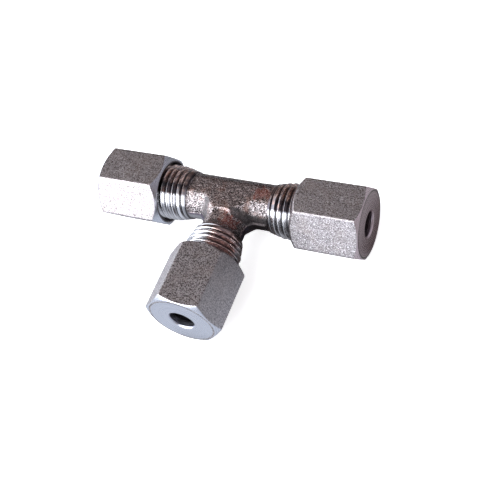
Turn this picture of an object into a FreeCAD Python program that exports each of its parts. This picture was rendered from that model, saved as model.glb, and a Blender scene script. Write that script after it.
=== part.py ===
import FreeCAD, Part
import math
import os
from FreeCAD import Vector

# Equal tee union for 6 mm tube with 24-degree cones, cutting rings and union nuts.
# Frame: the three port axes meet at the origin. +X right run port, -X left run port,
# -Y branch port, +Z up, square to the plane of the tee. All sizes in millimetres.
# Every port is first made along +Z (a "port frame" whose z is the distance from the
# tee's centre) and then turned onto its own axis.

# ---- tube and thread -------------------------------------------------------
TUBE_BORE_R = 3.05           # socket and ring bore for a 6 mm tube
PASSAGE_R = 2.0              # flow passage drilled through the run
BRANCH_PASSAGE_R = 1.9       # drilled in from the branch until it meets the run's
PITCH = 1.5                  # M14 x 1.5, right hand
MAJOR_R = 7.0                # crest of the external thread
ROOT_R = 5.95                # root of the external thread
ROOT_FLAT = 0.10             # axial width of the external root
FLANK = math.tan(math.radians(30))
THREAD_GAP = 0.13            # radial clearance of the nut's thread
FLANK_GAP = 0.10             # axial clearance on each flank
NUT_TIP_R = 6.25             # crest of the internal thread

# ---- tee body --------------------------------------------------------------
PORT_FACE = 23.0             # centre to the cone's mouth
TUBE_STOP = 16.0             # centre to the shoulder the tube stands on
CONE_MOUTH_R = 4.0
CONE_TAN = math.tan(math.radians(12))
FACE_CHAMFER = 0.9
THREAD_START = 11.0          # inner end of the thread
FLARE_START = 9.1            # where the necks begin to widen towards the bosses
FLARE_START_R = 4.95
FLARE_END_R = 5.95
BOSS_START = 11.1            # small step up from the forged flare to the machined boss
BOSS_START_R = 6.1
BOSS_END = 14.7              # where the boss reaches the full thread
FLAT_Z = 5.35                # half of the distance across the forged flats
RUN_NECK_R = 5.75
BRANCH_NECK_R = 5.3
NECK_FLAT_Z = 4.85           # the branch neck is flattened a little more than the hub
HUB_FRONT = 5.7              # the hub's front, before the thinner branch neck
WEB_OFFSET = 2.1             # the corner webs pass this far from the centre on X and Y
WEB_R = 6.0
FLASH_HALF = 0.9             # half height of the trimmed parting band
FLASH_PROUD = 0.4            # how far it stands out of the necks
CORNER_R = 2.3               # inside corner radius of the band

# ---- union nut -------------------------------------------------------------
NUT_AF = 17.0
NUT_LENGTH = 17.2
NUT_FACE_R = 8.35            # round end face inside the chamfer
NUT_MOUTH_FACE_R = 8.05      # the same at the open end, more deeply chamfered
CHAMFER_TAN = math.tan(math.radians(30))
MOUTH_CHAMFER_TAN = math.tan(math.radians(40))
NUT_BORE_R = 3.1
NUT_BORE_LENGTH = 2.9
BORE_LIP = 0.35              # chamfer of the tube hole
SHOULDER_R = 5.1             # end of the 45-degree cone that drives the ring
SHOULDER_DEPTH = 5.5         # outer face to the end of that chamber
RELIEF_LENGTH = 1.3          # undercut behind the internal thread
MOUTH_R = 7.6                # countersink at the open end

# ---- cutting ring ----------------------------------------------------------
RING_LENGTH = 7.2
RING_REAR_R = 3.45
RING_COLLAR_R = 4.8
RING_COLLAR_LENGTH = 1.6
RING_TAPER_R = 4.2           # start of the taper to the nose, a short step below the collar
RING_TAPER_STEP = 0.6
RING_NOSE_R = 3.45
RING_EDGE_RELIEF = 0.3       # depth of the grooves behind the two cutting edges
RING_GAP = 0.04              # the ring's clearance from the nut's cone

# ---- the three ports -------------------------------------------------------
# Each has its outward axis, how far its nut is turned about that axis from where one
# flat faces up, in degrees by the right-hand rule, and the distance from the centre to
# the nut's outer face. The nuts stand loosened, each by a different amount.
UP = Vector(0, 0, 1)
PORTS = {
    "right": (Vector(1, 0, 0), 3.5, 34.8),
    "left": (Vector(-1, 0, 0), 0.0, 35.3),
    "branch": (Vector(0, -1, 0), -9.0, 35.0),
}


def solid_of(shape):
    """The single solid held in a shape."""
    solids = shape.Solids
    if len(solids) != 1:
        raise ValueError("expected one solid, found %d" % len(solids))
    return solids[0]


def turned(outline):
    """Solid of revolution about Z from (radius, z) corners."""
    corners = [Vector(r, 0, z) for r, z in outline]
    face = Part.Face(Part.makePolygon(corners + corners[:1]))
    return solid_of(face.revolve(Vector(0, 0, 0), Vector(0, 0, 1), 360))


def thread_turn(outline, start, turn):
    """One right-hand turn of a helical bar whose section is (radius, dz) corners."""
    helices = []
    for r, dz in outline:
        helix = Part.makeHelix(PITCH, PITCH, r)
        helix.translate(Vector(0, 0, dz))
        helices.append(Part.Wire(helix))
    faces = []
    for lower, upper in zip(helices, helices[1:] + helices[:1]):
        faces += Part.makeRuledSurface(lower, upper).Faces
    for z in (0, PITCH):
        corners = [Vector(r, 0, z + dz) for r, dz in outline]
        faces.append(Part.Face(Part.makePolygon(corners + corners[:1])))
    shell = Part.makeShell(faces)
    shell.sewShape()
    bar = Part.Solid(shell)
    if bar.Volume < 0:
        bar.reverse()
    bar.translate(Vector(0, 0, start + turn * PITCH))
    return bar


def cut_thread(blank, outline, start, turns):
    """Cut a helical groove into a blank, a turn at a time."""
    for turn in range(turns):
        blank = blank.cut(thread_turn(outline, start, turn))
    return solid_of(blank)


def groove_outline(root_r, open_r, root_flat):
    """Section of a 60-degree groove between its root and its open side."""
    spread = abs(open_r - root_r) * FLANK
    half = root_flat / 2
    return [(root_r, -half), (open_r, -half - spread), (open_r, half + spread), (root_r, half)]


def onto_port(shape, direction):
    """Turn a shape from the port frame onto a port of the tee."""
    placed = shape.copy()
    placed.rotate(Vector(0, 0, 0), UP.cross(direction), 90)
    return placed


def flat_up_angle(direction):
    """Angle of a hexagon's corner in the port frame that leaves a flat facing up."""
    up = FreeCAD.Rotation(UP, direction).inverted().multVec(UP)
    return math.degrees(math.atan2(up.y, up.x)) + 30


def threaded_spigot():
    """Machined end of a port, with a thread that fades out on a conical boss."""
    chamfer_start = PORT_FACE - FACE_CHAMFER * CHAMFER_TAN
    blank = turned([
        (0, FLARE_START), (FLARE_START_R, FLARE_START), (FLARE_END_R, BOSS_START),
        (BOSS_START_R, BOSS_START), (MAJOR_R, BOSS_END), (MAJOR_R, chamfer_start),
        (MAJOR_R - FACE_CHAMFER, PORT_FACE), (0, PORT_FACE)])
    outline = groove_outline(ROOT_R, MAJOR_R + 0.1, ROOT_FLAT)
    turns = math.ceil((PORT_FACE + 1 - THREAD_START) / PITCH)
    return cut_thread(blank, outline, THREAD_START, turns)


def port_bore():
    """Tube socket with its stop, and the 24-degree cone."""
    cone_depth = (CONE_MOUTH_R - TUBE_BORE_R) / CONE_TAN
    overrun = 1.0
    return turned([
        (0, TUBE_STOP), (TUBE_BORE_R, TUBE_STOP), (TUBE_BORE_R, PORT_FACE - cone_depth),
        (CONE_MOUTH_R, PORT_FACE), (CONE_MOUTH_R, PORT_FACE + overrun), (0, PORT_FACE + overrun)])


def corner_web(side):
    """Rounded 45-degree web between a run neck and the branch, side +1 right, -1 left."""
    reach = WEB_OFFSET * math.sqrt(2)
    along = Vector(side, 1, 0).normalize()
    middle = Vector(side * WEB_OFFSET, -WEB_OFFSET, 0)
    return Part.makeCylinder(WEB_R, 2 * reach, middle - along * reach, along)


def parting_band():
    """Thin band left by trimming the forging flash, with rounded inside corners."""
    run_y = RUN_NECK_R + FLASH_PROUD
    branch_x = BRANCH_NECK_R + FLASH_PROUD
    end = BOSS_START - 0.2
    band = Part.makeBox(2 * end, 2 * run_y, 2 * FLASH_HALF, Vector(-end, -run_y, -FLASH_HALF))
    stem = Part.makeBox(2 * branch_x, end, 2 * FLASH_HALF, Vector(-branch_x, -end, -FLASH_HALF))
    band = band.fuse(stem)
    for side in (1, -1):
        corner_x = side * (branch_x + CORNER_R)
        corner_y = -run_y - CORNER_R
        x_low = min(side * branch_x, corner_x)
        block = Part.makeBox(CORNER_R, CORNER_R, 2 * FLASH_HALF, Vector(x_low, corner_y, -FLASH_HALF))
        hollow = Part.makeCylinder(CORNER_R, 2 * FLASH_HALF, Vector(corner_x, corner_y, -FLASH_HALF))
        band = band.fuse(block.cut(hollow))
    return band


def make_tee_body():
    """One forging with three machined ports."""
    centre = Vector(0, 0, 0)
    along = Vector(1, 0, 0)
    front = Vector(0, -1, 0)
    run = Part.makeCylinder(RUN_NECK_R, 2 * BOSS_START, -along * BOSS_START, along)
    hub = Part.makeCylinder(RUN_NECK_R, HUB_FRONT, centre, front)
    neck = Part.makeCylinder(BRANCH_NECK_R, BOSS_START - 0.2, centre, front)
    slab = Part.makeBox(40, 40, 2 * NECK_FLAT_Z, Vector(-20, -20, -NECK_FLAT_Z))
    keep = Part.makeBox(40, RUN_NECK_R + HUB_FRONT, 2 * FLAT_Z, Vector(-20, -HUB_FRONT, -FLAT_Z))
    forging = run.fuse([hub, corner_web(1), corner_web(-1)]).common(keep)
    forging = forging.fuse([neck.common(slab), parting_band()])
    spigot = threaded_spigot()
    spigots = [onto_port(spigot, port[0]) for port in PORTS.values()]
    body = forging.fuse(spigots)
    bores = [onto_port(port_bore(), port[0]) for port in PORTS.values()]
    bores.append(Part.makeCylinder(PASSAGE_R, 2 * TUBE_STOP + 1, -along * (TUBE_STOP + 0.5), along))
    bores.append(Part.makeCylinder(BRANCH_PASSAGE_R, TUBE_STOP + 0.5, centre, front))
    return solid_of(body.cut(bores))


def make_nut_blank():
    """Hexagon, chamfered at 30 degrees outside and 40 at the mouth, outer face at z = 0."""
    corner_r = NUT_AF / math.sqrt(3)
    corners = [Vector(corner_r * math.cos(k * math.pi / 3), corner_r * math.sin(k * math.pi / 3), 0)
               for k in range(6)]
    hexagon = Part.Face(Part.makePolygon(corners + corners[:1])).extrude(Vector(0, 0, NUT_LENGTH))
    rim = corner_r + 1
    drop = (rim - NUT_FACE_R) * CHAMFER_TAN
    mouth_drop = (rim - NUT_MOUTH_FACE_R) * MOUTH_CHAMFER_TAN
    envelope = turned([
        (0, 0), (NUT_FACE_R, 0), (rim, drop), (rim, NUT_LENGTH - mouth_drop),
        (NUT_MOUTH_FACE_R, NUT_LENGTH), (0, NUT_LENGTH)])
    return solid_of(hexagon.common(envelope))


def nut_cavity():
    """Tube hole, ring-driving cone, ring chamber, thread relief, core hole and mouth."""
    cone_end = NUT_BORE_LENGTH + SHOULDER_R - NUT_BORE_R
    relief_r = MAJOR_R + THREAD_GAP + 0.05
    relief_end = SHOULDER_DEPTH + RELIEF_LENGTH
    mouth = NUT_LENGTH - (MOUTH_R - NUT_TIP_R)
    return turned([
        (0, -1), (NUT_BORE_R + BORE_LIP, -1), (NUT_BORE_R + BORE_LIP, 0), (NUT_BORE_R, BORE_LIP),
        (NUT_BORE_R, NUT_BORE_LENGTH), (SHOULDER_R, cone_end), (SHOULDER_R, SHOULDER_DEPTH),
        (relief_r, SHOULDER_DEPTH), (relief_r, relief_end), (NUT_TIP_R, relief_end + 0.6),
        (NUT_TIP_R, mouth), (MOUTH_R, NUT_LENGTH), (MOUTH_R, NUT_LENGTH + 1), (0, NUT_LENGTH + 1)])


def internal_groove():
    """Section of the nut's groove: the body's ridge with clearance all round."""
    ridge_flat = PITCH - ROOT_FLAT - 2 * (MAJOR_R - ROOT_R) * FLANK
    floor_r = MAJOR_R + THREAD_GAP
    floor_flat = ridge_flat + 2 * FLANK_GAP - 2 * THREAD_GAP * FLANK
    return groove_outline(floor_r, NUT_TIP_R - 0.1, max(floor_flat, 0.12))


def make_nut(corner_angle, outer_face):
    """Union nut in the port frame, its thread in step with the body's."""
    nut = make_nut_blank().cut(nut_cavity())
    nut.rotate(Vector(0, 0, 0), Vector(1, 0, 0), 180)
    nut.rotate(Vector(0, 0, 0), Vector(0, 0, 1), corner_angle)
    nut.translate(Vector(0, 0, outer_face))
    inner_end = outer_face - NUT_LENGTH
    relief = outer_face - SHOULDER_DEPTH - RELIEF_LENGTH / 2
    first = THREAD_START + PITCH / 2
    start = first + PITCH * math.floor((inner_end - 1 - first) / PITCH)
    turns = math.floor((relief - start) / PITCH)
    return cut_thread(solid_of(nut), internal_groove(), start, turns)


def make_ring(outer_face):
    """Cutting ring in the port frame, its rear shoulder just off the nut's driving cone."""
    rear = outer_face - NUT_BORE_LENGTH - (RING_REAR_R - NUT_BORE_R) - RING_GAP
    nose = rear - RING_LENGTH
    shoulder = rear - (RING_COLLAR_R - RING_REAR_R)
    collar_end = shoulder - RING_COLLAR_LENGTH
    edge_r = TUBE_BORE_R + 0.05
    outside = [
        (TUBE_BORE_R, rear), (RING_REAR_R, rear), (RING_COLLAR_R, shoulder),
        (RING_COLLAR_R, collar_end), (RING_TAPER_R, collar_end - RING_TAPER_STEP), (RING_NOSE_R, nose)]
    front_edge = [
        (edge_r, nose), (edge_r, nose + 0.25), (edge_r + RING_EDGE_RELIEF, nose + 0.55),
        (edge_r + RING_EDGE_RELIEF, nose + 1.4), (TUBE_BORE_R, nose + 1.75)]
    rear_edge = [
        (TUBE_BORE_R, nose + 2.1), (TUBE_BORE_R + RING_EDGE_RELIEF, nose + 2.4),
        (TUBE_BORE_R + RING_EDGE_RELIEF, nose + 3.2), (TUBE_BORE_R, nose + 3.5)]
    return turned(outside + front_edge + rear_edge)


def save(shape, node):
    print("%-20s volume %8.2f mm3, valid %s" % (node, shape.Volume, shape.isValid()))
    shape.exportStep("parts/%s.step" % node)


os.makedirs("parts", exist_ok=True)
save(make_tee_body(), "tee_body")
for port, (direction, nut_turn, outer_face) in PORTS.items():
    nut = make_nut(flat_up_angle(direction) + nut_turn, outer_face)
    save(onto_port(nut, direction), port + "_nut")
    save(onto_port(make_ring(outer_face), direction), port + "_cutting_ring")
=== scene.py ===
import math

import bpy
import numpy as np
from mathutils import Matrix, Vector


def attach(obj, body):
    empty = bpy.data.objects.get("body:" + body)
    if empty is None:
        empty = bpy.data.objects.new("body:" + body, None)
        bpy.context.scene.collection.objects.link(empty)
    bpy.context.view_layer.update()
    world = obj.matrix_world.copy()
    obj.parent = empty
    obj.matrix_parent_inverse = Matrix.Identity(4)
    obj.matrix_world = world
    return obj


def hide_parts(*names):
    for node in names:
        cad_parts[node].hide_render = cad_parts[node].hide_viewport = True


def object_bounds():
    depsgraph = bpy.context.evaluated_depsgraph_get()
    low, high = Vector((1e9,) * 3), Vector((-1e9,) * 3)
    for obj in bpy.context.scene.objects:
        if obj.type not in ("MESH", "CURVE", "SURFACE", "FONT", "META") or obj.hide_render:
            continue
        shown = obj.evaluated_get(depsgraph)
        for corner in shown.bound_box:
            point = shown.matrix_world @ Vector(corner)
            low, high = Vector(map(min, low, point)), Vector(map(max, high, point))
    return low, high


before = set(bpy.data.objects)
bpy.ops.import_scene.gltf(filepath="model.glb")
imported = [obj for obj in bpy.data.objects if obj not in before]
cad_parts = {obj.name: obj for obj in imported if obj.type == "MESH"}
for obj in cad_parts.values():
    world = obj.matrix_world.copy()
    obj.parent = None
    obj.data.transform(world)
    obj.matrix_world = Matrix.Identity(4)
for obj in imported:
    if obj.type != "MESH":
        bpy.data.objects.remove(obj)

import openvdb
from mathutils import Matrix, Vector, noise

# The looks of a 24-degree cutting-ring tee. Shapes are worked out in millimetres in the
# CAD frame (+X and -X run ports, -Y branch port, origin where the axes meet) and
# scaled to metres when their mesh is made.
CAD_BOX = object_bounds()
MM = 0.001
TAU = 2 * math.pi
TAN30 = math.tan(math.radians(30))
TAN40 = math.tan(math.radians(40))

# ---- sizes shared with the CAD model, in millimetres ------------------------
PITCH = 1.5
MAJOR_R = 7.0
ROOT_R = 5.95
ROOT_FLAT = 0.10
THREAD_START = 11.0
ROW_STEP = PITCH / 20        # mesh rows along a thread
FLARE_START, FLARE_START_R, FLARE_END_R = 9.1, 4.95, 5.95
BOSS_START, BOSS_START_R, BOSS_END = 11.1, 6.1, 14.7
PORT_FACE, TUBE_STOP, CONE_MOUTH_R, TUBE_BORE_R, FACE_CHAMFER = 23.0, 16.0, 4.0, 3.05, 0.9
CONE_DEPTH = (CONE_MOUTH_R - TUBE_BORE_R) / math.tan(math.radians(12))
PASSAGE_R, BRANCH_PASSAGE_R = 2.0, 1.9
FLAT_Z, RUN_NECK_R, BRANCH_NECK_R, NECK_FLAT_Z, HUB_FRONT = 5.35, 5.75, 5.3, 4.85, 5.7
WEB_OFFSET, WEB_R, CORNER_FILLET = 2.1, 6.0, 0.5
FLASH_HALF, FLASH_PROUD, CORNER_R = 0.9, 0.4, 2.3
NUT_AF, NUT_LENGTH, NUT_FACE_R, NUT_MOUTH_FACE_R = 17.0, 17.2, 8.35, 8.05
NUT_CORNER_R = NUT_AF / math.sqrt(3)
NUT_BORE_R, NUT_BORE_LENGTH, BORE_LIP = 3.1, 2.9, 0.35
SHOULDER_R, SHOULDER_DEPTH, RELIEF_LENGTH = 5.1, 5.5, 1.3
NUT_TIP_R, NUT_TIP_HALF, THREAD_GAP, MOUTH_R = 6.25, 0.12, 0.13, 7.6
RING_LENGTH, RING_REAR_R, RING_COLLAR_R, RING_NOSE_R, RING_GAP = 7.2, 3.45, 4.8, 3.45, 0.04
RING_COLLAR_LENGTH, RING_TAPER_R, RING_TAPER_STEP, RING_EDGE_RELIEF = 1.6, 4.2, 0.6, 0.3
RELIEF_R = MAJOR_R + THREAD_GAP + 0.05

# ---- the ports: outward axis, turn of the nut from flat up, its outer face --
PORTS = {
    "right": (Vector((1, 0, 0)), 3.5, 34.8),
    "left": (Vector((-1, 0, 0)), 0.0, 35.3),
    "branch": (Vector((0, -1, 0)), -9.0, 35.0),
}
UP = Vector((0, 0, 1))


# ---- small shape functions --------------------------------------------------
def smooth_min(a, b, k):
    """Smaller of two values, rounded over a width k where they meet."""
    h = np.clip(0.5 + 0.5 * (b - a) / k, 0, 1)
    return b * (1 - h) + a * h - k * h * (1 - h)


def smooth_max(a, b, k):
    """Larger of two values, rounded in the same way."""
    return -smooth_min(-a, -b, k)


def fade(x):
    """Smooth step from 0 to 1 as x goes from 0 to 1."""
    x = np.clip(x, 0, 1)
    return x * x * (3 - 2 * x)


def rounded(corners, radius, steps=5):
    """An open (r, z) outline with its inner corners rounded by short arcs."""
    points = [np.array(corners[0], float)]
    for before, here, after in zip(corners, corners[1:], corners[2:]):
        here = np.array(here, float)
        back, ahead = np.array(before) - here, np.array(after) - here
        reach = min(radius, 0.4 * np.linalg.norm(back), 0.4 * np.linalg.norm(ahead))
        start = here + back / np.linalg.norm(back) * reach
        end = here + ahead / np.linalg.norm(ahead) * reach
        for t in np.linspace(0, 1, steps):
            points.append((1 - t) ** 2 * start + 2 * t * (1 - t) * here + t * t * end)
    points.append(np.array(corners[-1], float))
    return points


def spaced(points, step):
    """The same outline with its long stretches divided."""
    out = [points[0]]
    for a, b in zip(points, points[1:]):
        count = max(1, int(math.ceil(np.linalg.norm(b - a) / step)))
        out += [a + (b - a) * k / count for k in range(1, count + 1)]
    return out


# ---- mesh making ------------------------------------------------------------
def new_object(name, verts, faces, material):
    """A smooth-shaded mesh object with one material, its vertices in metres."""
    mesh = bpy.data.meshes.new(name)
    mesh.from_pydata(verts, [], faces)
    mesh.materials.append(material)
    mesh.polygons.foreach_set("use_smooth", [True] * len(mesh.polygons))
    mesh.update()
    piece = bpy.data.objects.new(name, mesh)
    bpy.context.scene.collection.objects.link(piece)
    return piece


def round_piece(name, rows, angles, direction, material):
    """A closed ring-shaped piece: rows of radii and heights at each angle about a port's
    axis, the last row joined to the first. Each row is (radii, z)."""
    turn = np.array(UP.rotation_difference(direction).to_matrix())
    cos, sin = np.cos(angles), np.sin(angles)
    blocks = []
    for radii, z in rows:
        radii = np.broadcast_to(radii, angles.shape)
        block = np.stack([radii * cos, radii * sin, np.full_like(cos, z)], axis=1)
        blocks.append(block)
    verts = np.concatenate(blocks) @ turn.T * MM
    n, m = len(angles), len(rows)
    column = np.arange(n)
    nxt = (column + 1) % n
    faces = []
    for k in range(m):
        a, b = k * n, ((k + 1) % m) * n
        faces.append(np.stack([a + column, b + column, b + nxt, a + nxt], axis=1))
    return new_object(name, verts.tolist(), np.concatenate(faces).tolist(), material)


def even_angles(count):
    """A full turn in equal steps."""
    return np.arange(count) * TAU / count


def thread_radius(angles, z, crest_r, k):
    """Radius of the right-hand thread at height z, 0 deep before its first turn."""
    turns = (z - THREAD_START) / PITCH - angles / TAU
    nearest = np.round(turns)
    axial = np.abs(turns - nearest) * PITCH
    depth = np.clip((axial - ROOT_FLAT / 2) / TAN30, 0, None)
    radius = smooth_min(smooth_max(ROOT_R + depth, ROOT_R, k), crest_r, k)
    begun = fade((nearest + angles / TAU + 0.02) / 0.2)
    return crest_r + (radius - crest_r) * begun


# ---- union nuts -------------------------------------------------------------
def hexagon_angles(corner, per_side):
    """Angles gathered towards the six corners, starting at one of them."""
    t = np.linspace(-1, 1, per_side, endpoint=False)
    spread = 30 * np.sin(t * math.pi / 2)
    sides = [corner + 30 + 60 * k + spread for k in range(6)]
    return np.radians(np.concatenate(sides)) % TAU


def hexagon_radius(angles, corner):
    """Distance to the hexagon's sides, with its corners just broken."""
    offset = (np.degrees(angles) - corner) % 60 - 30
    side = NUT_AF / 2 / np.cos(np.radians(offset))
    return smooth_min(side, NUT_CORNER_R - 0.06, 0.12)


def make_nut(name, direction, level_turn, outer, material):
    """Union nut with its internal thread in step with the body's."""
    up = UP.rotation_difference(direction).inverted() @ UP
    corner = math.degrees(math.atan2(up.y, up.x)) + 30 + level_turn
    angles = hexagon_angles(corner, per_side=40)
    side = hexagon_radius(angles, corner)
    inner = outer - NUT_LENGTH
    rim = NUT_CORNER_R + 0.6
    drop = (rim - NUT_FACE_R) * TAN30
    mouth_drop = (rim - NUT_MOUTH_FACE_R) * TAN40
    rows = []
    # outside, from the mouth's flat ring to the end face
    envelope = [(MOUTH_R + 0.1, inner), (NUT_MOUTH_FACE_R, inner), (rim, inner + mouth_drop),
                (rim, outer - drop), (NUT_FACE_R, outer), (NUT_FACE_R - 0.55, outer)]
    for r, z in spaced(rounded(envelope, 0.12), 0.35):
        rows.append((smooth_min(np.full_like(side, r), side, 0.07), z))
    # end face, tube hole, driving cone and chamber
    cone_end = outer - NUT_BORE_LENGTH - (SHOULDER_R - NUT_BORE_R)
    relief_start = outer - SHOULDER_DEPTH
    relief_end = relief_start - RELIEF_LENGTH
    inside = [(NUT_FACE_R - 0.75, outer), (NUT_BORE_R + BORE_LIP, outer),
              (NUT_BORE_R, outer - BORE_LIP), (NUT_BORE_R, outer - NUT_BORE_LENGTH),
              (SHOULDER_R, cone_end), (SHOULDER_R, relief_start), (RELIEF_R, relief_start),
              (RELIEF_R, relief_end)]
    rows += spaced(rounded(inside, 0.08), 0.4)
    # internal thread, run out into the countersunk mouth
    mouth_start = inner + (MOUTH_R - NUT_TIP_R)
    for z in np.arange(relief_end - 0.05, inner, -ROW_STEP):
        turns = (z - THREAD_START) / PITCH - angles / TAU
        axial = np.abs(turns - np.round(turns)) * PITCH
        ridge = NUT_TIP_R + np.clip((axial - NUT_TIP_HALF) / TAN30, 0, None)
        thread = smooth_min(ridge, MAJOR_R + THREAD_GAP, 0.05)
        lead_in = max(RELIEF_R - (relief_end - z), 0)
        countersink = MOUTH_R - (z - inner) if z < mouth_start else 0
        rows.append((np.maximum(np.maximum(thread, lead_in), countersink), z))
    rows += [(MOUTH_R, inner), (MOUTH_R + 0.03, inner)]
    return round_piece(name, rows, angles, direction, material)


# ---- cutting rings ----------------------------------------------------------
def make_ring(name, direction, outer, material):
    """Cutting ring, its rear shoulder just off the nut's driving cone."""
    rear = outer - NUT_BORE_LENGTH - (RING_REAR_R - NUT_BORE_R) - RING_GAP
    nose = rear - RING_LENGTH
    shoulder = rear - (RING_COLLAR_R - RING_REAR_R)
    collar_end = shoulder - RING_COLLAR_LENGTH
    bore, edge = TUBE_BORE_R, TUBE_BORE_R + 0.05
    relief = RING_EDGE_RELIEF
    outside = [(bore, rear), (RING_REAR_R, rear), (RING_COLLAR_R, shoulder),
               (RING_COLLAR_R, collar_end), (RING_TAPER_R, collar_end - RING_TAPER_STEP),
               (RING_NOSE_R, nose)]
    front_edge = [(edge, nose), (edge, nose + 0.25), (edge + relief, nose + 0.55),
                  (edge + relief, nose + 1.4), (bore, nose + 1.75)]
    rear_edge = [(bore, nose + 2.1), (bore + relief, nose + 2.4), (bore + relief, nose + 3.2),
                 (bore, nose + 3.5), (bore, rear - 0.01)]
    rows = spaced(rounded(outside + front_edge + rear_edge, 0.05, 3), 0.4)
    return round_piece(name, rows, even_angles(96), direction, material)


# ---- threaded spigots of the body -------------------------------------------
def make_spigot(name, direction, material):
    """Threaded end of a port with its socket and cone, its root buried in the forging."""
    angles = even_angles(240)
    root = FLARE_START - 0.5
    passage = PASSAGE_R if direction.x else BRANCH_PASSAGE_R
    buried = [(passage + 0.6, root), (FLARE_START_R - 0.9, root + 0.3),
              (FLARE_END_R - 0.45, BOSS_START - 0.25)]
    rows = spaced([np.array(point) for point in buried], 0.5)
    # the boss: its step, then its thread
    step = [(FLARE_END_R - 0.4, BOSS_START - 0.02), (BOSS_START_R, BOSS_START - 0.02),
            (BOSS_START_R + 0.02, BOSS_START + 0.1)]
    rows += rounded(step, 0.05)[:-1]
    chamfer_start = PORT_FACE - FACE_CHAMFER * TAN30
    boss_taper = (MAJOR_R - BOSS_START_R) / (BOSS_END - BOSS_START)
    for z in np.arange(BOSS_START + 0.1, PORT_FACE, ROW_STEP):
        boss = BOSS_START_R + boss_taper * (z - BOSS_START)
        blank = smooth_min(np.array(boss), MAJOR_R, 0.12)
        radius = smooth_min(thread_radius(angles, z, MAJOR_R + 0.02, 0.06), blank, 0.05)
        end = MAJOR_R - (z - chamfer_start) / TAN30 if z > chamfer_start else math.inf
        rows.append((np.minimum(radius, end), z))
    # face, 24-degree cone, socket with its stop, passage
    cone_end = PORT_FACE - CONE_DEPTH
    inside = [(MAJOR_R - FACE_CHAMFER, PORT_FACE), (CONE_MOUTH_R, PORT_FACE),
              (TUBE_BORE_R, cone_end), (TUBE_BORE_R, TUBE_STOP), (passage, TUBE_STOP),
              (passage, root + 0.2), (passage + 0.3, root)]
    rows += spaced(rounded(inside, 0.06), 0.5)
    return round_piece(name, rows, angles, direction, material)


# ---- forged middle ----------------------------------------------------------
def round_union(a, b, radius):
    """Union of two solids with a fillet of a true radius in the inside corner."""
    meet = np.hypot(np.maximum(radius - a, 0), np.maximum(radius - b, 0))
    return np.maximum(radius, np.minimum(a, b)) - meet


def flare(radius, s):
    """Distance outside the cone by which a neck widens towards its boss."""
    slope = (FLARE_END_R - FLARE_START_R) / (BOSS_START - FLARE_START)
    return radius - (FLARE_START_R + slope * (s - FLARE_START))


def slab(value, low, high):
    """Signed distance to the space between two parallel planes."""
    middle = (low + high) / 2
    return np.abs(value - middle) - (high - low) / 2


def forging_field(x, y, z):
    """Signed distance to the forged middle and its drillings, negative inside."""
    reach = BOSS_START + 0.05
    about_run = np.hypot(y, z)
    run = smooth_min(about_run - RUN_NECK_R, flare(about_run, np.abs(x)), 0.25)
    run = smooth_max(run, np.abs(x) - reach, 0.05)
    around = np.hypot(x, z)
    hub = smooth_max(around - RUN_NECK_R, slab(y, -HUB_FRONT, 0), 0.3)
    hub = smooth_min(run, hub, 0.5)
    for side in (1, -1):
        across = (side * x - y) / math.sqrt(2) - WEB_OFFSET * math.sqrt(2)
        along = np.abs(side * x + y) / math.sqrt(2) - WEB_OFFSET * math.sqrt(2)
        hub = smooth_min(hub, smooth_max(np.hypot(across, z) - WEB_R, along, 0.4), 0.5)
    hub = smooth_max(hub, np.abs(z) - FLAT_Z, 0.2)
    neck = smooth_max(around - BRANCH_NECK_R, np.abs(z) - NECK_FLAT_Z, 0.15)
    neck = smooth_max(smooth_min(neck, flare(around, -y), 0.25), slab(y, -reach, 0), 0.05)
    body = round_union(hub, neck, CORNER_FILLET)
    # trimmed parting band
    run_band = np.maximum(np.abs(y) - RUN_NECK_R - FLASH_PROUD, np.abs(x) - reach + 0.6)
    stem_band = np.maximum(np.abs(x) - BRANCH_NECK_R - FLASH_PROUD, slab(y, -reach, 0) + 0.3)
    band = smooth_max(round_union(run_band, stem_band, CORNER_R), np.abs(z) - FLASH_HALF, 0.12)
    body = smooth_min(body, band, 0.12)
    drilled_run = np.hypot(y, z) - PASSAGE_R
    drilled_branch = np.maximum(around - BRANCH_PASSAGE_R, y)
    return np.maximum(body, -np.minimum(drilled_run, drilled_branch))


def make_forging(name, material):
    """Mesh of the forged middle, taken from its field on a grid."""
    voxel = 0.145
    low, high = np.array([-11.5, -11.5, -6.4]), np.array([11.5, 6.7, 6.4])
    axes = [np.arange(a, b, voxel, dtype=np.float32) for a, b in zip(low, high)]
    x, y, z = np.meshgrid(*axes, indexing="ij", sparse=True)
    field = forging_field(x, y, z).astype(np.float32)
    width = 3 * voxel
    grid = openvdb.FloatGrid(width)
    grid.copyFromArray(np.clip(field, -width, width))
    points, quads = grid.convertToQuads(0.0)
    points = (points * voxel + low) * MM
    return new_object(name, points.tolist(), quads[:, ::-1].tolist(), material)


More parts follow.
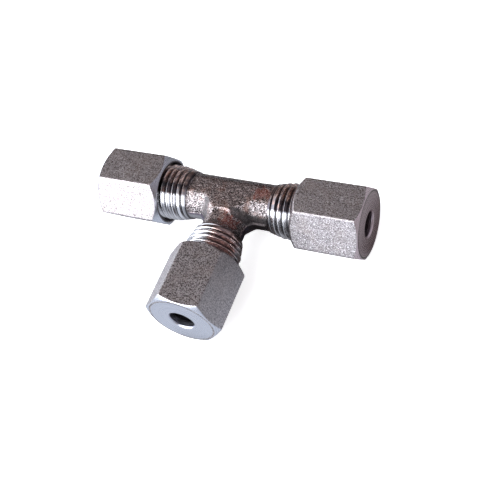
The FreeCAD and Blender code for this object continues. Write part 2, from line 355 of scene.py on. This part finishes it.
# ---- materials --------------------------------------------------------------
class Nodes:
    """A material's node tree, with one short call per kind of node."""

    def __init__(self, name):
        self.material = bpy.data.materials.new(name)
        self.material.use_nodes = True
        self.tree = self.material.node_tree
        self.shader = self.tree.nodes["Principled BSDF"]
        self.place = self.add("ShaderNodeTexCoord").outputs["Object"]

    def add(self, kind, **settings):
        """A new node, with its own properties set."""
        node = self.tree.nodes.new(kind)
        for key, value in settings.items():
            setattr(node, key, value)
        return node

    def put(self, socket, value):
        """Link a socket, or give it a plain value."""
        if isinstance(value, bpy.types.NodeSocket):
            self.tree.links.new(value, socket)
        else:
            socket.default_value = value

    def math(self, operation, a, b=0.0, c=0.0):
        """The result of one operation on numbers."""
        node = self.add("ShaderNodeMath", operation=operation)
        for socket, value in zip(node.inputs, (a, b, c)):
            self.put(socket, value)
        return node.outputs[0]

    def vector(self, operation, a, b=None):
        """The result of one operation on vectors."""
        node = self.add("ShaderNodeVectorMath", operation=operation)
        self.put(node.inputs[0], a)
        if operation == "SCALE":
            self.put(node.inputs["Scale"], b)
        elif b is not None:
            self.put(node.inputs[1], b)
        return node.outputs["Value" if operation in ("DOT_PRODUCT", "LENGTH") else "Vector"]

    def noise(self, size_mm, detail, roughness, place=None, distortion=0.0):
        """Fractal noise whose largest features are about this size."""
        node = self.add("ShaderNodeTexNoise")
        self.put(node.inputs["Vector"], place or self.place)
        node.inputs["Scale"].default_value = 1 / (size_mm * MM)
        node.inputs["Detail"].default_value = detail
        node.inputs["Roughness"].default_value = roughness
        node.inputs["Distortion"].default_value = distortion
        return node.outputs["Fac"]

    def ramp(self, value, low, high, to_low=0.0, to_high=1.0):
        """A value's range stretched onto another, and held at its ends."""
        node = self.add("ShaderNodeMapRange", clamp=True)
        for socket, number in zip(node.inputs, (value, low, high, to_low, to_high)):
            self.put(socket, number)
        return node.outputs["Result"]

    def between(self, value, low, low_in, high_in, high):
        """1 where a value is from low_in to high_in, fading to 0 at low and at high."""
        rise, fall = self.ramp(value, low, low_in), self.ramp(value, high_in, high, 1.0, 0.0)
        return self.math("MULTIPLY", rise, fall)

    def within(self, value, inner, outer, most=1.0):
        """The most where a value is under inner, fading to 0 at outer."""
        return self.ramp(value, inner, outer, most, 0.0)

    def product(self, *values):
        """All the values multiplied together."""
        result = values[0]
        for value in values[1:]:
            result = self.math("MULTIPLY", result, value)
        return result

    def mix(self, factor, a, b):
        """Colour a where factor is 0 and b where it is 1."""
        node = self.add("ShaderNodeMix", data_type="RGBA")
        self.put(node.inputs["Factor"], factor)
        for socket, colour in ((node.inputs["A"], a), (node.inputs["B"], b)):
            self.put(socket, (*colour, 1.0) if isinstance(colour, tuple) else colour)
        return node.outputs["Result"]

    def blend(self, factor, a, b):
        """Number a where factor is 0 and b where it is 1."""
        node = self.add("ShaderNodeMix", data_type="FLOAT")
        for name, value in (("Factor", factor), ("A", a), ("B", b)):
            self.put(node.inputs[name], value)
        return node.outputs["Result"]

    def bump(self, height, depth_mm):
        """The normal of a relief whose height runs from 0 to 1."""
        node = self.add("ShaderNodeBump")
        node.inputs["Strength"].default_value = 1.0
        node.inputs["Distance"].default_value = depth_mm * MM
        self.put(node.inputs["Height"], height)
        return node.outputs["Normal"]

    def facing(self, direction, low, high, to_low=0.0, to_high=1.0):
        """How squarely the bare surface faces a direction, before any bump."""
        normal = self.add("ShaderNodeTexCoord").outputs["Normal"]
        return self.ramp(self.vector("DOT_PRODUCT", normal, direction), low, high, to_low, to_high)

    def axes(self):
        """The three coordinates of the place, in metres."""
        split = self.add("ShaderNodeSeparateXYZ")
        self.put(split.inputs[0], self.place)
        return tuple(split.outputs)

    def finish(self, colour, roughness, normal):
        """Metal with this colour, roughness and bump."""
        self.shader.inputs["Metallic"].default_value = 1.0
        self.put(self.shader.inputs["Base Color"], colour)
        self.put(self.shader.inputs["Roughness"], roughness)
        self.put(self.shader.inputs["Normal"], normal)
        return self.material

    def about_axis(self, direction):
        """Height along a port's axis and radius from it, both in millimetres."""
        axis = tuple(direction)
        height = self.vector("DOT_PRODUCT", self.place, axis)
        on_axis = self.vector("SCALE", axis, height)
        radius = self.vector("LENGTH", self.vector("SUBTRACT", self.place, on_axis))
        return self.math("MULTIPLY", height, 1000.0), self.math("MULTIPLY", radius, 1000.0)

    def ring_place(self, height, radius, stretch):
        """A texture place that hardly changes round the axis, for lathe marks."""
        around = self.vector("SCALE", self.place, stretch)
        node = self.add("ShaderNodeCombineXYZ")
        self.put(node.inputs["X"], self.math("MULTIPLY", height, MM))
        self.put(node.inputs["Y"], self.math("MULTIPLY", radius, MM))
        return self.vector("ADD", node.outputs[0], around)


def nut_steel(name, direction, outer):
    """Drawn hexagon bar: matt mottled flats, turned chamfers, end faces and thread."""
    n = Nodes(name)
    height, radius = n.about_axis(direction)
    from_face = n.math("SUBTRACT", outer, height)
    from_mouth = n.math("SUBTRACT", height, outer - NUT_LENGTH)
    past_face = n.math("MULTIPLY", n.math("SUBTRACT", radius, NUT_FACE_R), TAN30)
    past_mouth = n.math("MULTIPLY", n.math("SUBTRACT", radius, NUT_MOUTH_FACE_R), TAN40)
    from_outer = n.math("SUBTRACT", from_face, past_face)
    from_inner = n.math("SUBTRACT", from_mouth, past_mouth)
    chamfered = n.within(n.math("MINIMUM", from_outer, from_inner), 0.03, 0.10)
    bored = n.within(radius, 7.7, 7.9)
    turned = n.math("MAXIMUM", chamfered, bored)
    # flats: the branch nut's are coarser than the run nuts', and the run nuts' flats are painted
    # darker, a painted shade
    grain = n.noise(0.32, 3.0, 0.7)
    fine = n.noise(0.20, 2.0, 0.6)
    mottle = n.noise(0.8, 4.0, 0.65)
    cloud = n.noise(4.5, 3.0, 0.6)
    if direction.x:
        flats = n.mix(n.ramp(grain, 0.38, 0.62), (0.09, 0.073, 0.071), (0.425, 0.392, 0.392))
    else:
        flats = n.mix(n.ramp(grain, 0.42, 0.58), (0.07, 0.057, 0.055), (0.54, 0.505, 0.505))
    flats = n.mix(n.ramp(cloud, 0.48, 0.75, 0.0, 0.45), flats, (0.32, 0.265, 0.24))
    flats = n.mix(n.ramp(fine, 0.58, 0.70, 0.0, 0.7), flats, (0.88, 0.87, 0.90))
    # painted shade on the right nut's front facet: dark speckles that dull what it reflects
    if direction.x > 0:
        front_facet = n.facing((0.0, -0.866, 0.5), 0.90, 0.96)
        front_facet_painted_shade = n.math("MULTIPLY", front_facet, n.ramp(fine, 0.38, 0.62, 0.58, 0.11))
        flats = n.mix(front_facet_painted_shade, flats, (0.05, 0.053, 0.06))
    # painted sheen on the branch nut's right facet: a lighter colour where it faces right and up
    if not direction.x:
        right_facet_painted_sheen = n.facing((0.934, 0.0, 0.358), 0.90, 0.96, 0.0, 0.4)
        flats = n.mix(right_facet_painted_sheen, flats, (0.62, 0.60, 0.625))
    flats_rough = n.ramp(mottle, 0.3, 0.7, 0.33, 0.45)
    # turned surfaces: painted shade darkens the tube hole, the threaded hollow and, on the right
    # and branch nuts, the mouth
    marks = n.noise(0.09, 2.0, 0.5, n.ring_place(height, radius, 0.012))
    bright = n.mix(n.ramp(marks, 0.3, 0.7), (0.52, 0.535, 0.585), (0.59, 0.605, 0.655))
    if direction.x > 0:
        bright = n.mix(0.75, bright, (0.93, 0.77, 0.80))
    hole = n.within(radius, NUT_BORE_R + 0.05, NUT_BORE_R + 0.25, 0.35)
    bright = n.mix(hole, bright, (0.17, 0.16, 0.22))
    hollow = n.within(radius, NUT_MOUTH_FACE_R - 0.05, NUT_MOUTH_FACE_R + 0.05)
    hollow = n.product(hollow, n.ramp(from_face, 1.0, 2.0), 0.85)
    bright = n.mix(hollow, bright, (0.06, 0.055, 0.06))
    if direction.x >= 0:
        bright = n.mix(n.within(from_mouth, 1.6, 2.0, 0.85), bright, (0.085, 0.075, 0.075))
    bright_rough = n.ramp(marks, 0.3, 0.7, 0.22, 0.34)
    colour = n.mix(turned, flats, bright)
    # painted shade: a thin dark line along the edge of the left nut's end chamfer
    if direction.x < 0:
        chamfer_edge_offset = n.math("ABSOLUTE", n.math("SUBTRACT", from_outer, 0.12))
        colour = n.mix(n.within(chamfer_edge_offset, 0.05, 0.14, 0.88), colour, (0.045, 0.048, 0.07))
    rough = n.blend(turned, flats_rough, bright_rough)
    relief = n.blend(turned, n.math("ADD", grain, n.math("MULTIPLY", mottle, 0.6)), marks)
    return n.finish(colour, rough, n.bump(relief, 0.022))


def thread_steel(name, direction):
    """Bright cut thread with painted shade in its grooves, at its step and in its bore, brown
    painted shade and reflection on its upper side with brown stains there, and the skin it runs
    out into.
    """
    n = Nodes(name)
    height, radius = n.about_axis(direction)
    marks = n.noise(0.07, 2.0, 0.5, n.ring_place(height, radius, 0.02))
    stain = n.noise(1.4, 4.0, 0.65, distortion=0.8)
    colour = n.mix(n.ramp(marks, 0.3, 0.7), (0.56, 0.555, 0.565), (0.75, 0.75, 0.765))
    # painted shade and reflection above: the upper side is painted brown, on the run ports very
    # dark where it begins, and the brown stains lie only there; climb is the angle up from the
    # port's open side, in radians
    x, y, z = n.axes()
    climb = n.math("ARCTAN2", z, n.math("MULTIPLY", y if direction.x else x, -1.0))
    streak = n.noise(0.35, 3.0, 0.6, n.ring_place(height, radius, 0.35))
    if direction.x:
        upper = n.ramp(climb, 0.84, 0.95)
        brown = n.mix(n.ramp(streak, 0.44, 0.60), (0.32, 0.28, 0.29), (0.95, 0.72, 0.62))
        brown = n.mix(n.ramp(climb, 1.30, 1.48), (0.035, 0.03, 0.035), brown)
    else:
        upper = n.between(climb, 1.55, 1.75, 2.85, 3.05)
        brown = n.mix(n.ramp(streak, 0.42, 0.60), (0.32, 0.24, 0.245), (0.95, 0.68, 0.60))
    colour = n.mix(n.math("MULTIPLY", upper, 0.92), colour, brown)
    tarnish_and_shade = n.math("MULTIPLY", n.ramp(stain, 0.52, 0.68, 0.0, 0.7), upper)
    colour = n.mix(tarnish_and_shade, colour, (0.24, 0.15, 0.12))
    # painted shade in the grooves and at the boss's step, then in the bore
    groove = n.within(radius, ROOT_R + 0.1, 6.5)
    colour = n.mix(n.math("MULTIPLY", groove, 0.80), colour, (0.02, 0.015, 0.018))
    step = n.math("ABSOLUTE", n.math("SUBTRACT", height, BOSS_START))
    colour = n.mix(n.within(step, 0.08, 0.20, 0.9), colour, (0.05, 0.045, 0.055))
    bore = n.within(radius, CONE_MOUTH_R - 0.1, CONE_MOUTH_R + 0.15)
    colour = n.mix(n.math("MULTIPLY", bore, 0.8), colour, (0.10, 0.095, 0.11))
    rough = n.ramp(stain, 0.4, 0.7, 0.19, 0.30)
    skin, skin_rough, skin_relief = forged_look(n)
    below_boss = n.within(height, BOSS_START - 0.05, BOSS_START)
    forged = n.math("MULTIPLY", below_boss, n.math("SUBTRACT", 1.0, bore))
    colour = n.mix(forged, colour, skin)
    rough = n.blend(forged, rough, skin_rough)
    relief = n.blend(forged, n.math("MULTIPLY", marks, 0.1), skin_relief)
    return n.finish(colour, rough, n.bump(relief, 0.09))


def patch(n, centre, size):
    """1 at a place given in millimetres, fading to 0 at a ragged edge."""
    away = n.vector("SUBTRACT", n.vector("SCALE", n.place, 1000.0), centre)
    ragged = n.ramp(n.noise(1.1, 3.0, 0.7), 0.3, 0.7, -0.6, 0.6)
    distance = n.math("DIVIDE", n.vector("LENGTH", away), size)
    return n.within(n.math("ADD", distance, ragged), 0.55, 1.0)


def forged_look(n):
    """Colour, roughness and relief of a pickled forging's grainy skin."""
    grain = n.noise(0.30, 3.0, 0.65)
    pits = n.noise(0.15, 2.0, 0.6)
    cloud = n.noise(3.2, 3.0, 0.6)
    colour = n.mix(n.ramp(grain, 0.46, 0.58), (0.018, 0.014, 0.014), (0.35, 0.30, 0.295))
    colour = n.mix(n.ramp(cloud, 0.50, 0.66, 0.0, 0.6), colour, (0.20, 0.12, 0.095))
    brown = n.math("MAXIMUM", patch(n, (8.5, 0.3, 5.7), 2.6), patch(n, (3.0, -8.8, 4.3), 2.8))
    colour = n.mix(n.math("MULTIPLY", brown, 0.92), colour, (0.17, 0.068, 0.054))
    colour = n.mix(n.ramp(pits, 0.59, 0.67, 0.0, 0.95), colour, (0.97, 0.95, 0.955))
    rough = n.ramp(grain, 0.35, 0.65, 0.54, 0.32)
    return colour, rough, n.math("ADD", grain, n.math("MULTIPLY", pits, 0.3))


def forged_steel(name):
    """Pickled forging with a smoother trimmed parting band painted darker, and painted shade on
    its top and at two corners of the hub.
    """
    n = Nodes(name)
    colour, rough, relief = forged_look(n)
    x, y, z = (n.math("MULTIPLY", metres, 1000.0) for metres in n.axes())
    wide, tall = n.math("ABSOLUTE", x), n.math("ABSOLUTE", z)
    # painted shade: the up-facing flats are made darker and browner
    upward = n.facing((0.0, 0.0, 1.0), 0.90, 0.97)
    colour = n.mix(upward, colour, n.vector("MULTIPLY", colour, (0.78, 0.72, 0.69)))
    # the trimmed band is painted darker; the painted strip is a little wider on the left and
    # brighter along its upper edge there
    left = n.within(x, -4.0, 4.0)
    brink = n.math("MULTIPLY_ADD", left, 0.35, FLASH_HALF)
    level = n.within(tall, n.math("SUBTRACT", brink, 0.15), n.math("ADD", brink, 0.1))
    off_run = n.math("SUBTRACT", n.math("ABSOLUTE", y), RUN_NECK_R)
    off_branch = n.math("SUBTRACT", wide, BRANCH_NECK_R)
    trimmed = n.math("MULTIPLY", level, n.ramp(n.math("MINIMUM", off_run, off_branch), 0.0, 0.15))
    brim = n.within(tall, FLASH_HALF - 0.25, FLASH_HALF - 0.10)
    cut = n.mix(n.math("MULTIPLY", left, brim), (0.045, 0.04, 0.055), (0.26, 0.255, 0.265))
    colour = n.mix(n.math("MULTIPLY", trimmed, 0.9), colour, cut)
    # painted shade on the left corner web, at the edge of the top flat
    corner = n.product(n.within(y, -3.2, -2.4), n.between(wide, 3.7, 4.2, 5.3, 6.1),
                       n.within(z, 5.2, 5.33), left)
    colour = n.mix(n.math("MULTIPLY", corner, 0.8), colour, (0.08, 0.078, 0.082))
    # painted shade in the right corner of the hub, where the branch neck leaves it
    brow = n.product(n.between(y, -7.2, -6.8, -5.2, -4.8), n.ramp(x, 1.8, 2.6))
    colour = n.mix(n.math("MULTIPLY", brow, 0.85), colour, (0.055, 0.05, 0.05))
    relief = n.math("MULTIPLY", relief, n.ramp(trimmed, 0.0, 1.0, 1.0, 0.3))
    return n.finish(colour, rough, n.bump(relief, 0.12))


def ring_steel(name, direction):
    """Hardened ring: darker, fine-turned."""
    n = Nodes(name)
    height, radius = n.about_axis(direction)
    marks = n.noise(0.06, 2.0, 0.5, n.ring_place(height, radius, 0.02))
    colour = n.mix(marks, (0.20, 0.19, 0.20), (0.32, 0.30, 0.31))
    return n.finish(colour, n.ramp(marks, 0.3, 0.7, 0.25, 0.38), n.bump(marks, 0.008))


# ---- the fitting ------------------------------------------------------------
def wear(piece, amount, size_mm, keep):
    """Gentle unevenness of a forged skin, left off where keep is 0."""
    mesh = piece.data
    points = np.empty(3 * len(mesh.vertices))
    normals = np.empty(3 * len(mesh.vertices))
    mesh.vertices.foreach_get("co", points)
    mesh.vertices.foreach_get("normal", normals)
    points, normals = points.reshape(-1, 3) / MM, normals.reshape(-1, 3)
    push = np.array([noise.fractal(Vector(p / size_mm), 0.7, 2.0, 3) for p in points])
    points += normals * (push * amount * keep(points))[:, None]
    mesh.vertices.foreach_set("co", (points * MM).ravel())
    mesh.update()


def forged_skin(points):
    """1 on the forging's outside, 0 in its drillings and at its joins with the spigots."""
    x, y, z = points.T
    drilled = np.minimum(np.hypot(y, z), np.hypot(x, z)) < 2.4
    end = np.maximum(np.abs(x), -y) - (BOSS_START - 1.2)
    return np.where(drilled, 0.0, 1.0 - np.clip(end, 0.0, 1.0))


def place(piece, body, node, slot):
    """Ride a piece on a body, in place of a CAD node, which is hidden."""
    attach(piece, body)
    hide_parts(node)


forging = make_forging("forged_middle", forged_steel("forged_steel"))
wear(forging, amount=0.07, size_mm=1.3, keep=forged_skin)
place(forging, "tee_body", "tee_body", "tee_body")
for port, (direction, level_turn, outer) in PORTS.items():
    steel = thread_steel(port + "_thread_steel", direction)
    spigot = make_spigot(port + "_spigot", direction, steel)
    place(spigot, "tee_body", "tee_body", "tee_body")
    steel = nut_steel(port + "_nut_steel", direction, outer)
    nut = make_nut(port + "_union_nut", direction, level_turn, outer, steel)
    place(nut, port + "_nut", port + "_nut", "union_nut")
    steel = ring_steel(port + "_ring_steel", direction)
    ring = make_ring(port + "_ring", direction, outer, steel)
    place(ring, port + "_cutting_ring", port + "_cutting_ring", "cutting_ring")


# ---- floor, light and camera ------------------------------------------------
def plane(name, size, z, material):
    """A level square about the origin."""
    half = size / 2
    corners = [(-half, -half, z), (half, -half, z), (half, half, z), (-half, half, z)]
    return new_object(name, corners, [(0, 1, 2, 3)], material)


def pale_floor():
    """Matt and nearly white, evenly bright."""
    n = Nodes("pale_floor")
    n.shader.inputs["Base Color"].default_value = (0.9, 0.9, 0.9, 1)
    n.shader.inputs["Roughness"].default_value = 0.9
    n.shader.inputs["Emission Color"].default_value = (1.0, 1.0, 1.0, 1)
    n.shader.inputs["Emission Strength"].default_value = 0.72
    return n.material


def toward(azimuth, elevation):
    """Unit vector to a direction; azimuth is measured from the front towards the right."""
    a, e = math.radians(azimuth), math.radians(elevation)
    return Vector((math.sin(a) * math.cos(e), -math.cos(a) * math.cos(e), math.sin(e)))


def soft_room(window, bright, dim, pale_wall, pale):
    """A dim room with one wide soft window, its walls in three tones and one of them pale."""
    world = bpy.data.worlds.new("room")
    world.use_nodes = True
    tree = world.node_tree
    place = tree.nodes.new("ShaderNodeTexCoord").outputs["Generated"]

    def spread(centre, start, interpolation):
        """1 towards a direction, fading to 0 where the cosine to it is under start."""
        facing = tree.nodes.new("ShaderNodeVectorMath")
        facing.operation = "DOT_PRODUCT"
        tree.links.new(place, facing.inputs[0])
        facing.inputs[1].default_value = centre
        fading = tree.nodes.new("ShaderNodeMapRange")
        fading.interpolation_type = interpolation
        tree.links.new(facing.outputs["Value"], fading.inputs["Value"])
        fading.inputs["From Min"].default_value = start
        fading.inputs["From Max"].default_value = 0.85
        return fading.outputs["Result"]

    def mixed(factor, below, above):
        mix = tree.nodes.new("ShaderNodeMix")
        mix.data_type = "RGBA"
        tree.links.new(factor, mix.inputs["Factor"])
        tree.links.new(below, mix.inputs["A"])
        mix.inputs["B"].default_value = (*above, 1)
        return mix.outputs["Result"]

    patches = tree.nodes.new("ShaderNodeTexNoise")
    tree.links.new(place, patches.inputs["Vector"])
    patches.inputs["Scale"].default_value, patches.inputs["Detail"].default_value = 3.5, 2.0
    walls = tree.nodes.new("ShaderNodeValToRGB")
    tree.links.new(patches.outputs["Fac"], walls.inputs["Fac"])
    tones = walls.color_ramp.elements
    tones[0].position, tones[0].color = 0.35, (*dim[0], 1)
    tones[1].position, tones[1].color = 0.65, (*dim[2], 1)
    tones.new(0.5).color = (*dim[1], 1)
    room = mixed(spread(pale_wall, 0.45, "LINEAR"), walls.outputs["Color"], pale)
    room = mixed(spread(window, 0.35, "SMOOTHSTEP"), room, bright)
    tree.links.new(room, tree.nodes["Background"].inputs["Color"])
    bpy.context.scene.world = world


def beyond(n, a, a_edge, b, b_edge):
    """How far a place lies outside a box, from two of its coordinates."""
    a_out = n.math("MAXIMUM", n.math("SUBTRACT", a, a_edge), 0.0)
    b_out = n.math("MAXIMUM", n.math("SUBTRACT", b, b_edge), 0.0)
    return n.math("SQRT", n.math("ADD", *(n.math("MULTIPLY", out, out) for out in (a_out, b_out))))


def table_glow(name):
    """What polished steel sees of the table: lit from the window's side, with the
    fitting's own soft shadow, which falls away from the window."""
    n = Nodes(name)
    shifted = n.vector("ADD", n.place, SHADOW_SHIFT)
    split = n.add("ShaderNodeSeparateXYZ")
    n.put(split.inputs[0], shifted)
    x, y = (n.math("MULTIPLY", split.outputs[k], 1000.0) for k in (0, 1))
    wide, deep = n.math("ABSOLUTE", x), n.math("ABSOLUTE", y)
    past_branch = n.math("SUBTRACT", n.math("MULTIPLY", y, -1.0), SHADOW_BRANCH)
    run = beyond(n, wide, SHADOW_RUN, deep, SHADOW_HALF)
    branch = beyond(n, wide, SHADOW_HALF, n.math("MAXIMUM", y, past_branch), 0.0)
    clear = n.ramp(n.math("MINIMUM", run, branch), 0.0, SHADOW_EDGE)
    window_side = n.vector("DOT_PRODUCT", n.place, (-0.62, -0.78, 0.0))
    lit = n.ramp(window_side, -0.030, 0.020)
    open_table = n.mix(lit, (0.36, 0.355, 0.375), (0.80, 0.85, 0.97))
    glow = n.add("ShaderNodeEmission")
    n.put(glow.inputs["Color"], n.mix(clear, (0.085, 0.07, 0.072), open_table))
    n.tree.links.new(glow.outputs[0], n.tree.nodes["Material Output"].inputs["Surface"])
    return n.material


# the fitting's shadow on the table, in millimetres: half length of the run, reach of the
# branch, half width of both and width of the soft edge; then how far it is moved, in metres
SHADOW_RUN, SHADOW_BRANCH, SHADOW_HALF, SHADOW_EDGE = 31.5, 35.0, 7.0, 9.0
SHADOW_SHIFT = (-0.0050, -0.0062, 0.0)
FLOOR_SIZE, GLOW_SIZE = 30.0, 3.0
floor_z = CAD_BOX[0][2] - 0.00002
floor = plane("floor", FLOOR_SIZE, floor_z, pale_floor())
floor.visible_glossy = False
glow = plane("table_glow", GLOW_SIZE, floor_z - 0.0001, table_glow("table_glow"))
glow.visible_camera = glow.visible_diffuse = glow.visible_shadow = False
soft_room(
    window=toward(-50, 12), bright=(7.3, 7.6, 8.2),
    dim=((0.062, 0.046, 0.045), (0.20, 0.138, 0.122), (0.21, 0.182, 0.182)),
    pale_wall=toward(124, 33), pale=(0.42, 0.395, 0.44))
sun = bpy.data.lights.new("soft_sun", "SUN")
sun.energy, sun.angle = 0.9, math.radians(40)
sun_object = bpy.data.objects.new("soft_sun", sun)
sun_object.rotation_euler = toward(-25, 60).to_track_quat("Z", "Y").to_euler()
bpy.context.scene.collection.objects.link(sun_object)
bpy.context.scene.view_settings.view_transform = "Standard"

# the camera looks from the front right and above, rolled a little; aim and distance in metres
CAMERA_AZIMUTH, CAMERA_ELEVATION, CAMERA_ROLL = 40.17, 51.84, 23.14
CAMERA_DISTANCE, CAMERA_LENS = 0.2279, 68.5
CAMERA_AIM = Vector((0.00252, -0.00724, -0.00563))
backward = toward(CAMERA_AZIMUTH, CAMERA_ELEVATION)
level = UP.cross(backward).normalized()
upright = Matrix((level, backward.cross(level), backward)).transposed()
camera_data = bpy.data.cameras.new("camera")
camera_data.lens, camera_data.sensor_width = CAMERA_LENS, 36.0
camera_data.clip_start = 0.01
camera = bpy.data.objects.new("camera", camera_data)
rolled = upright.to_4x4() @ Matrix.Rotation(-math.radians(CAMERA_ROLL), 4, "Z")
camera.matrix_world = Matrix.Translation(CAMERA_AIM + backward * CAMERA_DISTANCE) @ rolled
bpy.context.scene.collection.objects.link(camera)
bpy.context.scene.camera = camera
